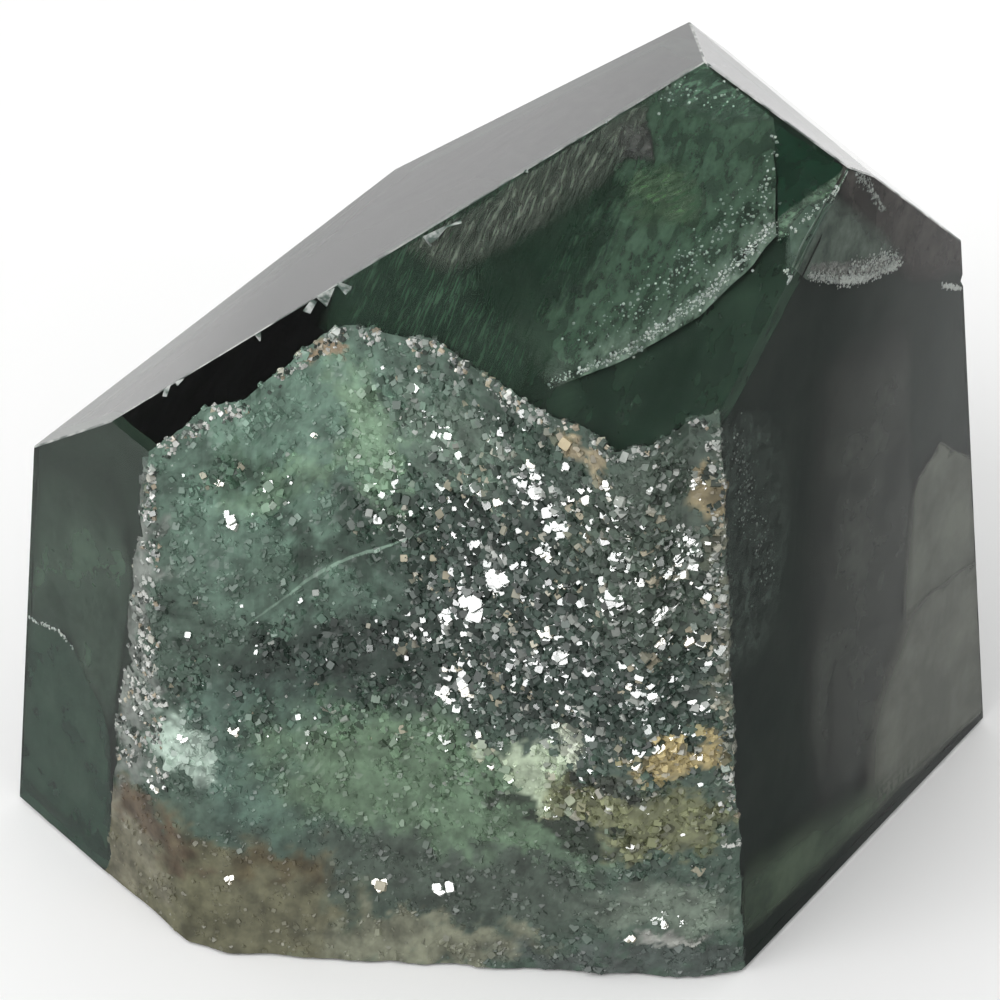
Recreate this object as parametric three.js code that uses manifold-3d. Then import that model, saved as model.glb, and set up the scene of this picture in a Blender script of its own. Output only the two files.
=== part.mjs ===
// A squat point of dark green fluorite, as a lapidary finishes one: a lump whose front is the
// stone's own drusy skin, with five flat sides, a sloping front facet, four crown facets and a
// flat base ground and polished on it. It is one piece of stone, so it is one mesh.
// Millimetres, +Z up. The origin is in the middle of the flat base, and the skin faces -Y.
import * as THREE from "three";
import { mergeVertices } from "three/addons/utils/BufferGeometryUtils.js";
import Module from "manifold-3d";

const wasm = await Module();
wasm.setup();

// The ground facets. Each one's outward normal has an azimuth, turned from +X towards +Y, and
// a slope up from level, in degrees. Its plane lies that distance from the origin.
const FACETS = {
  left_side: { azimuth: -141.5, slope: 7.5, distance: 28.6 },
  right_side: { azimuth: -33.6, slope: 2, distance: 25.3 },
  back_left_side: { azimuth: 138.2, slope: -0.5, distance: 19.4 },
  back_right_side: { azimuth: 35, slope: 7.4, distance: 26.9 },
  back_side: { azimuth: 88, slope: 1.5, distance: 25.8 },
  front_slope: { azimuth: -138.9, slope: 56.8, distance: 39.7 },
  left_crown: { azimuth: 150, slope: 52.7, distance: 34.9 },
  right_crown: { azimuth: 31.9, slope: 52.7, distance: 47.1 },
  back_right_crown: { azimuth: 29.6, slope: 44.7, distance: 44.45 },
  back_crown: { azimuth: 105, slope: 38, distance: 36.7 },
  base: { azimuth: 0, slope: -90, distance: 0 },
};

// The drusy skin runs up from the foot line, on the base, to the rim, where the polished
// facets cut it off. Each point is [x, y] on the foot line and [x, y, z] on the rim.
const SKIN_FOOT = [
  [-25.5, -14.1],
  [-20, -20.7],
  [-17.5, -22.1],
  [-3.5, -23.1],
  [5.2, -23.9],
  [11.5, -24.3],
  [15, -23.4],
];
const SKIN_RIM = [
  [-25.5, -14.1, 1.5],
  [-24.3, -13.4, 11],
  [-22.9, -12.7, 23],
  [-21.5, -12.4, 31.8],
  [-18.3, -11.3, 33.6],
  [-15.8, -11.6, 34.6],
  [-12.5, -9.9, 37],
  [-9.7, -9.5, 38.6],
  [-4.7, -12.5, 39.8],
  [-0.1, -18.2, 39.5],
  [4.5, -22.4, 40],
  [6.2, -25, 39.6],
  [8, -25.6, 40.4],
  [10.4, -24.3, 42],
  [12.2, -24.7, 42.8],
  [16, -24.9, 44],
];
const SKIN_GRID = 1.5; // spacing of the skin's own facets
const SKIN_SWELL = 0.32; // height of its lumps and hollows
// Those are two pairs of crossed waves, each pair with its share of the height. A wave has
// radians per millimetre across the skin and up it, and the radians that it starts at.
const WAVES = [
  { share: 0.6, one: [0.55, 0.31, 0.8], other: [-0.17, 0.42, 1.9] },
  { share: 0.4, one: [1.13, -0.63, 2.1], other: [0.5, 0.97, 0] },
];
const GRAIN = { height: 0.3, seed: 3 }; // how far its facets' corners stand out or in, at random

// Small cubes of fluorite stand out of the skin, each one more than half sunk in the stone.
const CUBES = {
  seed: 7,
  tries: 900, // most land on another cube or off the skin, and aren't kept
  across: [-25, 15], // the stretch of x that the skin takes up
  up: [0, 44], // and of z
  smallest: 1,
  largest: 2,
  turned: 1.5, // most that one is turned about each axis, in radians
  apart: 1.25, // least distance to the next cube's middle, as a share of the cube's size
  sunk: 0.22, // how far its middle lies behind the skin, as a share of its size
  inset: 0.7, // least distance from its middle to a ground facet
};

const ROUGH = { width: 72, front: -30, back: 34, height: 60, below: 4 }; // the uncut lump
const GRIND = 160; // side of the block that stands for what each facet's grinding takes off

const WELD = 1e-4; // corners closer than this are one corner
const DRAW = { factor: 1664525, extra: 1013904223, span: 4294967296 }; // the random numbers' rule
const radians = THREE.MathUtils.degToRad;

// Seeded random numbers, from 0 to 1, for the grain and the cubes.
function seeded(seed) {
  let state = seed;
  return () => {
    state = (state * DRAW.factor + DRAW.extra) % DRAW.span;
    return state / DRAW.span;
  };
}

// A value at x on a line through points, each with its x first, level past both ends.
function along(points, x, column) {
  const last = points.length - 1;
  if (x <= points[0][0]) return points[0][column];
  if (x >= points[last][0]) return points[last][column];
  const next = points.findIndex((point) => point[0] > x);
  const [before, after] = [points[next - 1], points[next]];
  const share = (x - before[0]) / (after[0] - before[0]);
  return THREE.MathUtils.lerp(before[column], after[column], share);
}

// The lumps and hollows of the skin, from -1 to 1.
function swell(x, z) {
  const wave = ([across, up, start]) => Math.sin(across * x + up * z + start);
  return WAVES.reduce((sum, { share, one, other }) => sum + share * wave(one) * wave(other), 0);
}

// How far forward the skin lies at x and z, as a y coordinate.
function skinY(x, z) {
  const foot = along(SKIN_FOOT, x, 1);
  const share = THREE.MathUtils.clamp(z / along(SKIN_RIM, x, 2), 0, 1);
  return THREE.MathUtils.lerp(foot, along(SKIN_RIM, x, 1), share) + SKIN_SWELL * swell(x, z);
}

function facetNormal({ azimuth, slope }) {
  const level = Math.cos(radians(slope));
  return new THREE.Vector3(
    level * Math.cos(radians(azimuth)),
    level * Math.sin(radians(azimuth)),
    Math.sin(radians(slope)),
  );
}

// A closed geometry with one vertex at each corner, shared by the faces that meet there.
function sewn(geometry) {
  const shell = geometry.clone();
  shell.deleteAttribute("normal");
  shell.deleteAttribute("uv");
  return mergeVertices(shell, WELD);
}

// A sewn geometry as a manifold-3d solid, in its own place.
function solid(geometry) {
  const vertProperties = new Float32Array(geometry.attributes.position.array);
  const triVerts = new Uint32Array(geometry.index.array);
  return new wasm.Manifold(new wasm.Mesh({ numProp: 3, vertProperties, triVerts }));
}

// The uncut lump: a block whose front is the skin.
function rough() {
  const depth = ROUGH.back - ROUGH.front;
  const across = Math.round(ROUGH.width / SKIN_GRID);
  const up = Math.round(ROUGH.height / SKIN_GRID);
  const box = new THREE.BoxGeometry(ROUGH.width, depth, ROUGH.height, across, 1, up);
  box.translate(0, (ROUGH.back + ROUGH.front) / 2, ROUGH.height / 2 - ROUGH.below);
  const block = sewn(box);
  const random = seeded(GRAIN.seed);
  const places = block.attributes.position;
  for (let i = 0; i < places.count; i++) {
    if (places.getY(i) > 0) continue;
    const grain = GRAIN.height * THREE.MathUtils.lerp(-1, 1, random());
    places.setY(i, skinY(places.getX(i), places.getZ(i)) + grain);
  }
  return solid(block);
}

// The cubes that stand out of the skin, clear of the facets and of each other's middles.
function cubes() {
  const random = seeded(CUBES.seed);
  const between = (low, high) => THREE.MathUtils.lerp(low, high, random());
  const planes = Object.values(FACETS).map((facet) => [facetNormal(facet), facet.distance]);
  const placed = [];
  for (let i = 0; i < CUBES.tries; i++) {
    const size = between(CUBES.smallest, CUBES.largest);
    const [x, z] = [between(...CUBES.across), between(...CUBES.up)];
    const turns = [between(0, CUBES.turned), between(0, CUBES.turned), between(0, CUBES.turned)];
    const turn = new THREE.Euler(...turns);
    const middle = new THREE.Vector3(x, skinY(x, z) + CUBES.sunk * size, z);
    const inside = planes.every(([normal, d]) => normal.dot(middle) < d - CUBES.inset);
    const clear = placed.every((other) => other.middle.distanceTo(middle) > CUBES.apart * size);
    if (!inside || !clear) continue;
    const cube = new THREE.BoxGeometry(size, size, size);
    cube.applyMatrix4(new THREE.Matrix4().makeRotationFromEuler(turn).setPosition(middle));
    placed.push({ middle, body: solid(sewn(cube)) });
  }
  return placed.map((cube) => cube.body);
}

// The stone with everything outside one facet's plane ground away.
function ground(stone, facet) {
  const normal = facetNormal(facet);
  const waste = new THREE.BoxGeometry(GRIND, GRIND, GRIND);
  waste.applyQuaternion(new THREE.Quaternion().setFromUnitVectors(new THREE.Vector3(0, 0, 1), normal));
  waste.translate(...normal.multiplyScalar(facet.distance + GRIND / 2).toArray());
  return stone.subtract(solid(sewn(waste)));
}

function stoneGeometry() {
  const lump = cubes().reduce((stone, cube) => stone.add(cube), rough());
  const shells = Object.values(FACETS).reduce(ground, lump).decompose();
  const outer = shells.reduce((most, shell) => (shell.volume() > most.volume() ? shell : most));
  const { vertProperties, triVerts } = outer.getMesh(); // without pockets shut in by the cubes
  const geometry = new THREE.BufferGeometry();
  geometry.setAttribute("position", new THREE.BufferAttribute(new Float32Array(vertProperties), 3));
  geometry.setIndex(new THREE.BufferAttribute(new Uint32Array(triVerts), 1));
  return geometry;
}

const fluorite = new THREE.MeshStandardMaterial({
  color: 0x2c4a3b,
  roughness: 0.12,
  metalness: 0,
  flatShading: true,
});

const stone = new THREE.Mesh(stoneGeometry(), fluorite);
stone.name = "fluorite_point";

const part = new THREE.Group();
part.name = "fluorite point";
part.add(stone);

export default part;
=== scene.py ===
"""A squat polished point of dark green fluorite, with its own drusy skin left on the front."""
import math
import random

import bmesh
import bpy
from mathutils import Euler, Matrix, Quaternion, Vector, noise


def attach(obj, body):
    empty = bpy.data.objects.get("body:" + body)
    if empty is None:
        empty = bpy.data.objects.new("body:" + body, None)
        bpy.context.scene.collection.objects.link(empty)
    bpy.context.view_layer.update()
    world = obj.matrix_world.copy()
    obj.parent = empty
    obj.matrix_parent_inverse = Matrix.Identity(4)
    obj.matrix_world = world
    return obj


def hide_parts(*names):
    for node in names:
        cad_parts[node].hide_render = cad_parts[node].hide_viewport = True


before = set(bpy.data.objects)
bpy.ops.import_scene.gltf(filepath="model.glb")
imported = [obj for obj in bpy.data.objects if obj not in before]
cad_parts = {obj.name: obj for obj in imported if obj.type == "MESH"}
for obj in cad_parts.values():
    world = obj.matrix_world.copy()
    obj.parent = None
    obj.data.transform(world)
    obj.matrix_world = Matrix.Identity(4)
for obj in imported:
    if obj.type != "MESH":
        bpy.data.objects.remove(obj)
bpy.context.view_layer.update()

# The table: a pale matt board under the stone, in a pale room. A broad soft lamp stands over
# the left shoulder of the stone, and a low pale screen behind it lights the crown facets. Two
# smaller lamps hang before the soft one: one makes the grains on the skin flash, and the other
# lights what lies under the polish.
MM = 0.001
TABLE_SIDE = 3000 * MM
TABLE_GAP = 0.2 * MM  # a stone on a board touches it at a few points only
TABLE_COLOUR = (0.95, 0.95, 0.945, 1)


def new_material(name):
    """A material with a Principled shader, and its nodes and links."""
    material = bpy.data.materials.new(name)
    material.use_nodes = True
    nodes = material.node_tree.nodes
    return material, nodes, material.node_tree.links, nodes["Principled BSDF"]


def area_light(name, place, aim, sides, watts):
    """A lamp that shines from a place towards a point, from a rectangle of these sides."""
    lamp = bpy.data.lights.new(name, "AREA")
    lamp.shape = "RECTANGLE"
    lamp.size = sides[0]
    lamp.size_y = sides[1]
    lamp.energy = watts
    light = bpy.data.objects.new(name, lamp)
    light.location = place
    light.rotation_euler = (Vector(aim) - Vector(place)).to_track_quat("-Z", "Y").to_euler()
    light.visible_camera = False
    bpy.context.scene.collection.objects.link(light)
    return light


bpy.ops.object.select_all(action="DESELECT")
bpy.ops.mesh.primitive_plane_add(size=TABLE_SIDE, location=(0, 0, -TABLE_GAP))
table = bpy.context.object
table.name = "table"
paint, nodes, links, shader = new_material("pale_board")
shader.inputs["Base Color"].default_value = TABLE_COLOUR
shader.inputs["Roughness"].default_value = 0.9
table.data.materials.append(paint)

sky = bpy.data.worlds.new("studio")
bpy.context.scene.world = sky
sky.use_nodes = True
sky.node_tree.nodes["Background"].inputs["Color"].default_value = (1, 1, 1, 1)
sky.node_tree.nodes["Background"].inputs["Strength"].default_value = 0.84

soft_lamp = area_light("soft_lamp", (-0.37, -0.33, 0.44), (0, 0, 0.02), (0.50, 0.50), 1.9)
soft_lamp.visible_transmission = False
glint_lamp = area_light("glint_lamp", (-0.34, -0.30, 0.40), (0, 0, 0.02), (0.25, 0.25), 5.5)
glint_lamp.visible_diffuse = False
glint_lamp.visible_transmission = False
inner_lamp = area_light("inner_lamp", (-0.34, -0.30, 0.40), (0, 0, 0.02), (0.25, 0.25), 5.5)
inner_lamp.visible_diffuse = False
inner_lamp.visible_glossy = False
area_light("low_screen", (0.075, 0.15, 0.022), (0.02, 0, 0.04), (0.11, 0.04), 0.036)

# Four cards that only reflections see keep the pale room from washing out the polished sides.
# Three lie on the table, and two of those fade into it at their edges, from and to these places
# on them.
RIGHT_CARD_FAR = (0.008, 0.020)
BACK_CARD_NEAR = (-0.046, -0.074)
BACK_CARD_ASIDE = (0.066, 0.0795)


def card(name, middle, side, turn, colour):
    """A flat matt card of one colour, seen in reflections only."""
    bpy.ops.object.select_all(action="DESELECT")
    bpy.ops.mesh.primitive_plane_add(size=1, location=middle, rotation=turn)
    piece = bpy.context.object
    piece.name = name
    piece.scale = (side[0], side[1], 1)
    bpy.ops.object.transform_apply(location=False, rotation=False, scale=True)
    piece.visible_camera = False
    piece.visible_diffuse = False
    piece.visible_transmission = False
    piece.visible_shadow = False
    felt, nodes, links, shader = new_material(name + "_felt")
    shader.inputs["Base Color"].default_value = colour
    shader.inputs["Roughness"].default_value = 1
    piece.data.materials.append(felt)
    return nodes, links, shader


sky_turn = Vector((0.64, -0.26, -0.72)).to_track_quat("Z", "Y").to_euler()
card("sky_card", (-0.200, 0.080, 0.270), (0.16, 0.16), sky_turn, (0.20, 0.20, 0.20, 1))
card("left_card", (-0.075, 0, -TABLE_GAP / 2), (0.11, 0.12), (0, 0, 0), (0.55, 0.55, 0.55, 1))


def blend_in(nodes, links, below, mask, colour):
    """Lays a colour over another one where the mask is 1."""
    mix = nodes.new("ShaderNodeMix")
    mix.data_type = "RGBA"
    links.new(mask, mix.inputs["Factor"])
    if isinstance(below, tuple):
        mix.inputs["A"].default_value = below
    else:
        links.new(below, mix.inputs["A"])
    if isinstance(colour, tuple):
        mix.inputs["B"].default_value = colour
    else:
        links.new(colour, mix.inputs["B"])
    return mix.outputs["Result"]


def ranged(nodes, links, value, start, end, low=0, high=1, soft=False):
    """A value that goes from low to high while another one goes from its start to its end."""
    stretch = nodes.new("ShaderNodeMapRange")
    if soft:
        stretch.interpolation_type = "SMOOTHSTEP"
    stretch.inputs["From Min"].default_value = start
    stretch.inputs["From Max"].default_value = end
    stretch.inputs["To Min"].default_value = low
    stretch.inputs["To Max"].default_value = high
    links.new(value, stretch.inputs["Value"])
    return stretch.outputs["Result"]


def ramp_along(nodes, links, axis, start, end):
    """0 to 1 from a start to an end along one axis of a card."""
    place = nodes.new("ShaderNodeTexCoord")
    parts = nodes.new("ShaderNodeSeparateXYZ")
    links.new(place.outputs["Object"], parts.inputs["Vector"])
    return ranged(nodes, links, parts.outputs[axis], start, end, soft=True)


nodes, links, shader = card(
    "right_card",
    (0.0669, -0.0038, -TABLE_GAP / 2),
    (0.11, 0.14),
    (0, 0, math.radians(29)),
    (0, 0, 0, 1),
)
far = ramp_along(nodes, links, "Y", *RIGHT_CARD_FAR)
right_shade = blend_in(nodes, links, (0.16, 0.16, 0.16, 1), far, (0.62, 0.62, 0.62, 1))
links.new(right_shade, shader.inputs["Base Color"])

nodes, links, shader = card(
    "back_card",
    (-0.032, 0.155, -TABLE_GAP / 2),
    (0.16, 0.16),
    (0, 0, 0),
    (0, 0, 0, 1),
)
near = ramp_along(nodes, links, "Y", *BACK_CARD_NEAR)
back_shade = blend_in(nodes, links, (0.70, 0.70, 0.70, 1), near, TABLE_COLOUR)
aside = ramp_along(nodes, links, "X", *BACK_CARD_ASIDE)
back_shade = blend_in(nodes, links, back_shade, aside, TABLE_COLOUR)
links.new(back_shade, shader.inputs["Base Color"])

bpy.context.scene.view_settings.view_transform = "Standard"

VIEW_HEIGHT = math.radians(35)  # how far above level the camera looks down from
SENSOR_WIDE = 36  # this, the lens and the camera's place are in mm
LENS_LONG = 173.88
CAMERA_PLACE = Vector((-0.45, -252.746, 196.073))
lens = bpy.data.cameras.new("camera")
lens.sensor_width = SENSOR_WIDE
lens.lens = LENS_LONG
camera = bpy.data.objects.new("camera", lens)
camera.location = CAMERA_PLACE * MM
camera.rotation_euler = (math.radians(90) - VIEW_HEIGHT, 0, 0)
bpy.context.scene.collection.objects.link(camera)
bpy.context.scene.camera = camera

# The stone: one lump of fluorite. Its sides, slope, crown and base are ground flat on a wheel
# and polished, so one looks into them, and its front is the rough skin that it grew with.
SKIN_FOOT = [  # the skin's line on the base, as x, y in mm
    (-25.5, -14.1), (-20, -20.7), (-17.5, -22.1), (-3.5, -23.1), (5.2, -23.9),
    (11.5, -24.3), (15, -23.4),
]
SKIN_RIM = [  # and the line where polish cuts it off, as x, y, z in mm
    (-25.5, -14.1, 1.5), (-24.3, -13.4, 11), (-22.9, -12.7, 23), (-21.5, -12.4, 31.8),
    (-18.3, -11.3, 33.6), (-15.8, -11.6, 34.6), (-12.5, -9.9, 37), (-9.7, -9.5, 38.6),
    (-4.7, -12.5, 39.8), (-0.1, -18.2, 39.5), (4.5, -22.4, 40), (6.2, -25, 39.6),
    (8, -25.6, 40.4), (10.4, -24.3, 42), (12.2, -24.7, 42.8), (16, -24.9, 44),
]
SWELL = 0.32  # height of the skin's lumps and hollows, in mm
# They are pairs of crossed waves: each pair's share, and each wave's radians per mm across
# the skin and up it, and the radians that it starts at.
WAVES = [
    (0.6, (0.55, 0.31, 0.8), (-0.17, 0.42, 1.9)),
    (0.4, (1.13, -0.63, 2.1), (0.5, 0.97, 0)),
]
BLOCK_WIDE = 68  # the uncut block, in mm
BLOCK_TALL = 60
BLOCK_BELOW = 3  # how far it reaches below the base
BLOCK_FRONT = 30  # and how far before the origin
BLOCK_DEEP = 72
GRIT = 0.30  # spacing of the skin's finest relief
GRAIN_WIDE = 0.62  # size of the sugary grains, in mm
GRAIN_TALL = 0.26
GRAIN_LEVEL = 0.45  # share of a grain's height that lies under the skin's own level
PIT_WIDE = 3.1  # spacing and depth of the shallow pits and lumps between them
PIT_TALL = 0.30
SMOOTH_FOOT = (-19, 3, 11, 6.0)  # a smoother stretch at the left foot, as x, z and its half sizes
SMOOTH_INNER = 0.45  # share of that stretch that is fully smooth
SMOOTHEST = 0.25  # how grainy it is there
EASED = 0.15 * MM  # width of the narrow worn line along an edge between two facets, whose pale colour is wear and partly a painted highlight
CHIPS = [  # shallow chips knocked out of its edges: x, y, z and width, in mm
    (-4.2, -6.4, 42.8, 1.5), (-3.2, -6.5, 43.1, 0.9), (-10.9, -7.3, 38.9, 1.1),
    (-9.9, -7.2, 39.5, 0.9), (-11.8, -7.4, 38.3, 0.6), (-20.8, -8.8, 33.4, 0.8),
    (-19.9, -8.7, 33.9, 0.5), (11.2, -1.8, 52.2, 0.8), (12.1, -2.0, 52.3, 0.6),
    (5.9, -2.9, 49.1, 0.7), (6.7, -2.7, 49.6, 0.4), (27.9, -1.3, 36.6, 0.8),
    (14.9, -2.9, 52.0, 0.5), (-15.0, -7.9, 36.6, 0.4), (-26.0, -9.0, 30.9, 0.5),
    (1.2, -4.3, 46.2, 0.4), (19.6, -6.0, 51.0, 0.5), (-29.0, 1.0, 27.5, 0.5),
]


def along(points, x, column):
    """A value at x on a line through points, level past both ends."""
    if x <= points[0][0]:
        return points[0][column]
    for before, after in zip(points, points[1:]):
        if x < after[0]:
            share = (x - before[0]) / (after[0] - before[0])
            return before[column] + share * (after[column] - before[column])
    return points[-1][column]


def eased_step(share):
    """From 0 to 1 as the share does, with soft ends."""
    share = min(max(share, 0), 1)
    return share * share * (3 - 2 * share)


def swell(x, z):
    """The lumps and hollows of the skin, from -1 to 1."""
    total = 0
    for share, one, other in WAVES:
        crests = [math.sin(w[0] * x + w[1] * z + w[2]) for w in (one, other)]
        total += share * crests[0] * crests[1]
    return total


def skin_y(x, z):
    """How far forward the skin lies at x and z, all in mm."""
    foot = along(SKIN_FOOT, x, 1)
    share = min(max(z / along(SKIN_RIM, x, 2), 0), 1)
    return foot + share * (along(SKIN_RIM, x, 1) - foot) + SWELL * swell(x, z)


def patchy(x, z, layer, size):
    """Smooth noise on the skin, in patches of this size in mm. Each layer has its own."""
    return noise.noise(Vector((x, layer, z)) / size)


def oval_away(x, z, middle_x, middle_z, half_x, half_z):
    """How far a place on the skin is from the middle of an oval of it: 1 on the oval's edge."""
    return math.hypot((x - middle_x) / half_x, (z - middle_z) / half_z)


def roughness_at(x, z):
    """How grainy the skin is at x and z, from a little at the left foot to fully."""
    return min(max(oval_away(x, z, *SMOOTH_FOOT) - SMOOTH_INNER, SMOOTHEST), 1)


def relief(x, z):
    """How far the grains and pits stand out of the skin at x and z, in mm."""
    grain = noise.voronoi(Vector((x, 0, z)) / GRAIN_WIDE)[0][0]
    height = GRAIN_TALL * (GRAIN_LEVEL - grain) + PIT_TALL * patchy(x, z, 5, PIT_WIDE)
    return roughness_at(x, z) * height


FACET_LEAST = 25 * MM * MM  # area from which a flat stretch of the stone is a facet
SAME_WAY = 0.9999  # how nearly two faces of one facet look the same way, as a cosine
SAME_PLANE = 0.03 * MM  # and how nearly they lie in one plane
FLAT_WAY = 0.9995  # the same for a face that the wheel has left
FLAT_PLANE = 0.01 * MM
CUT_FINE = 1e-7  # corners nearer than this to a cut are on it
EDGE_LEAST = 1 * MM  # the shortest edge that is eased


def ground_facets(node):
    """The flat planes of a node as (outward normal, distance from the origin)."""
    planes = []
    for face in sorted(node.data.polygons, key=lambda face: -face.area):
        normal = face.normal.copy()
        distance = normal.dot(face.center)
        for plane in planes:
            if plane[0].dot(normal) > SAME_WAY and abs(plane[1] - distance) < SAME_PLANE:
                plane[2] += face.area
                break
        else:
            planes.append([normal, distance, face.area])
    return [(normal, distance) for normal, distance, area in planes if area > FACET_LEAST]


facets = ground_facets(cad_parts["fluorite_point"])


def facet_towards(*way):
    """The facet that looks most nearly this way."""
    return max(facets, key=lambda facet: facet[0].dot(Vector(way)))


FRONT_SLOPE = facet_towards(-0.41, -0.36, 0.84)
RIGHT_SIDE = facet_towards(0.83, -0.55, 0.03)
LEFT_SIDE = facet_towards(-0.78, -0.62, 0.13)
BACK_SIDE = facet_towards(0.03, 1.00, 0.03)
BACK_LEFT = facet_towards(-0.75, 0.67, 0)
BACK_RIGHT = facet_towards(0.81, 0.57, 0.13)
BACK_CROWN = facet_towards(-0.20, 0.76, 0.62)
BACK_RIGHT_CROWN = facet_towards(0.62, 0.35, 0.70)
CROWNS = [facet_towards(-0.52, 0.30, 0.80), facet_towards(0.51, 0.32, 0.80)]
WINDOWS = [FRONT_SLOPE, RIGHT_SIDE, LEFT_SIDE]  # the front facets with sheets under them
BACK_WINDOWS = [BACK_SIDE, BACK_LEFT, BACK_RIGHT, BACK_CROWN, BACK_RIGHT_CROWN]
KEEN_EDGES = [  # the edges left unworn
    {facets.index(FRONT_SLOPE), facets.index(RIGHT_SIDE)},
    {facets.index(FRONT_SLOPE), facets.index(LEFT_SIDE)},
]

bpy.ops.object.select_all(action="DESELECT")
bpy.ops.mesh.primitive_grid_add(
    x_subdivisions=round(BLOCK_WIDE / GRIT),
    y_subdivisions=round(BLOCK_TALL / GRIT),
    size=1,
    rotation=(math.radians(90), 0, 0),
    location=(0, -BLOCK_FRONT * MM, (BLOCK_TALL / 2 - BLOCK_BELOW) * MM),
)
stone = bpy.context.object
stone.name = "polished_stone"
stone.scale = (BLOCK_WIDE * MM, BLOCK_TALL * MM, 1)
bpy.ops.object.transform_apply(location=True, rotation=True, scale=True)
bpy.ops.object.mode_set(mode="EDIT")
bpy.ops.mesh.select_all(action="SELECT")
bpy.ops.mesh.extrude_region_move(TRANSFORM_OT_translate={"value": (0, BLOCK_DEEP * MM, 0)})
bpy.ops.mesh.select_all(action="SELECT")
bpy.ops.mesh.normals_make_consistent(inside=False)
shell = bmesh.from_edit_mesh(stone.data)
for vert in shell.verts:
    if vert.co.y < 0:
        x, z = vert.co.x / MM, vert.co.z / MM
        vert.co.y = (skin_y(x, z) - relief(x, z)) * MM
bmesh.update_edit_mesh(stone.data)


def grind(normal, distance):
    """Takes off all of the stone past one plane, and leaves a flat face there."""
    bpy.ops.mesh.select_all(action="SELECT")
    bpy.ops.mesh.bisect(
        plane_co=normal * distance,
        plane_no=normal,
        use_fill=True,
        clear_outer=True,
        threshold=CUT_FINE,
    )


def on_plane(face, planes):
    """Whether a face lies flat on one of these planes."""
    middle = face.calc_center_median()
    return any(
        face.normal.dot(normal) > FLAT_WAY and abs(middle.dot(normal) - distance) < FLAT_PLANE
        for normal, distance in planes
    )


for normal, distance in facets:
    grind(normal, distance)

# Each edge between two facets is eased by one light pass of the wheel. The eased strip is pale in
# speckles: frosted by the wheel, and partly a painted highlight.
shell = bmesh.from_edit_mesh(stone.data)
edges = {}
for edge in shell.edges:
    sides = [number for number in range(len(facets)) for face in edge.link_faces
             if on_plane(face, [facets[number]])]
    if len(set(sides)) == 2 and edge.calc_length() > EDGE_LEAST:
        edges[tuple(sides)] = edge.verts[0].co.copy()
eased = []
for (one, other), corner in edges.items():
    if {one, other} in KEEN_EDGES:
        continue
    normal = (facets[one][0] + facets[other][0]).normalized()
    slope = math.tan(math.acos(normal.dot(facets[one][0])))
    eased.append((normal, normal.dot(corner) - EASED / 2 * slope))
for normal, distance in eased:
    grind(normal, distance)

# Chips broken out of the edges since then. Fluorite splits along flat cleavage planes, so each
# one is cut with the corner of a turned cube that lies mostly outside the stone.
CHIP_CUBE = 1.5  # its side, as a share of the chip's width
CHIP_OUT = 0.85  # how far out its middle is, as a share of that too
CHIP_TURNS = (7, 5, 3)  # radians per mm along each axis, so that each cube stands its own way
chip_places = []
for x, y, z, width in CHIPS:
    place = Vector((x, y, z)) * MM
    nearest = sorted(facets, key=lambda facet: abs(place.dot(facet[0]) - facet[1]))[:2]
    way = (nearest[0][0] + nearest[1][0]).normalized()
    middle = place + way * CHIP_OUT * width * MM
    chip_places.append((middle, CHIP_CUBE * width * MM))
    bpy.ops.mesh.select_all(action="DESELECT")
    bpy.ops.mesh.primitive_cube_add(
        size=CHIP_CUBE * width * MM,
        location=middle,
        rotation=[turn * step for turn, step in zip(CHIP_TURNS, (x, y, z))],
    )
    bpy.ops.mesh.intersect_boolean(operation="DIFFERENCE", solver="EXACT")

shell = bmesh.from_edit_mesh(stone.data)
for face in shell.faces:
    middle = face.calc_center_median()
    in_chip = any((middle - place).length < side for place, side in chip_places)
    if on_plane(face, facets):
        face.material_index = 0
    elif on_plane(face, eased):
        face.material_index = 2
    else:
        face.material_index = 3 if in_chip else 1
bmesh.update_edit_mesh(stone.data)
bpy.ops.object.mode_set(mode="OBJECT")

POLISH_ROUGHNESS = (0.02, 0.072)  # where it is finest and where it is smeared
SMEAR_SCALE = 90  # the noises in the polish, as waves per metre
RIPPLE_SCALE = 260
RIPPLE_TALL = 0.10 * MM
STONE_TINT = (0.25, 0.42, 0.35, 1)
STONE_DEPTH = 120  # how strongly the stone takes up light, per metre
FLUORITE_IOR = 1.434


def spots(nodes, links, scale, detail, roughness=0.5, place=None):
    """Noise with so many waves per metre, laid out in the object's own coordinates."""
    texture = nodes.new("ShaderNodeTexNoise")
    texture.inputs["Scale"].default_value = scale
    texture.inputs["Detail"].default_value = detail
    texture.inputs["Roughness"].default_value = roughness
    place = place or nodes.new("ShaderNodeTexCoord").outputs["Object"]
    links.new(place, texture.inputs["Vector"])
    return texture.outputs["Fac"]


polish, nodes, links, shader = new_material("polished_fluorite")
shader.inputs["Base Color"].default_value = (1, 1, 1, 1)
shader.inputs["Transmission Weight"].default_value = 1
shader.inputs["IOR"].default_value = FLUORITE_IOR
smear = spots(nodes, links, SMEAR_SCALE, 3)
gloss = ranged(nodes, links, smear, 0, 1, *POLISH_ROUGHNESS)
links.new(gloss, shader.inputs["Roughness"])
uneven = spots(nodes, links, RIPPLE_SCALE, 2)
ripple = nodes.new("ShaderNodeBump")
ripple.inputs["Strength"].default_value = 0.10
ripple.inputs["Distance"].default_value = RIPPLE_TALL
links.new(uneven, ripple.inputs["Height"])
links.new(ripple.outputs["Normal"], shader.inputs["Normal"])
depth = nodes.new("ShaderNodeVolumeAbsorption")
depth.inputs["Color"].default_value = STONE_TINT
depth.inputs["Density"].default_value = STONE_DEPTH
links.new(depth.outputs["Volume"], nodes["Material Output"].inputs["Volume"])

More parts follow.
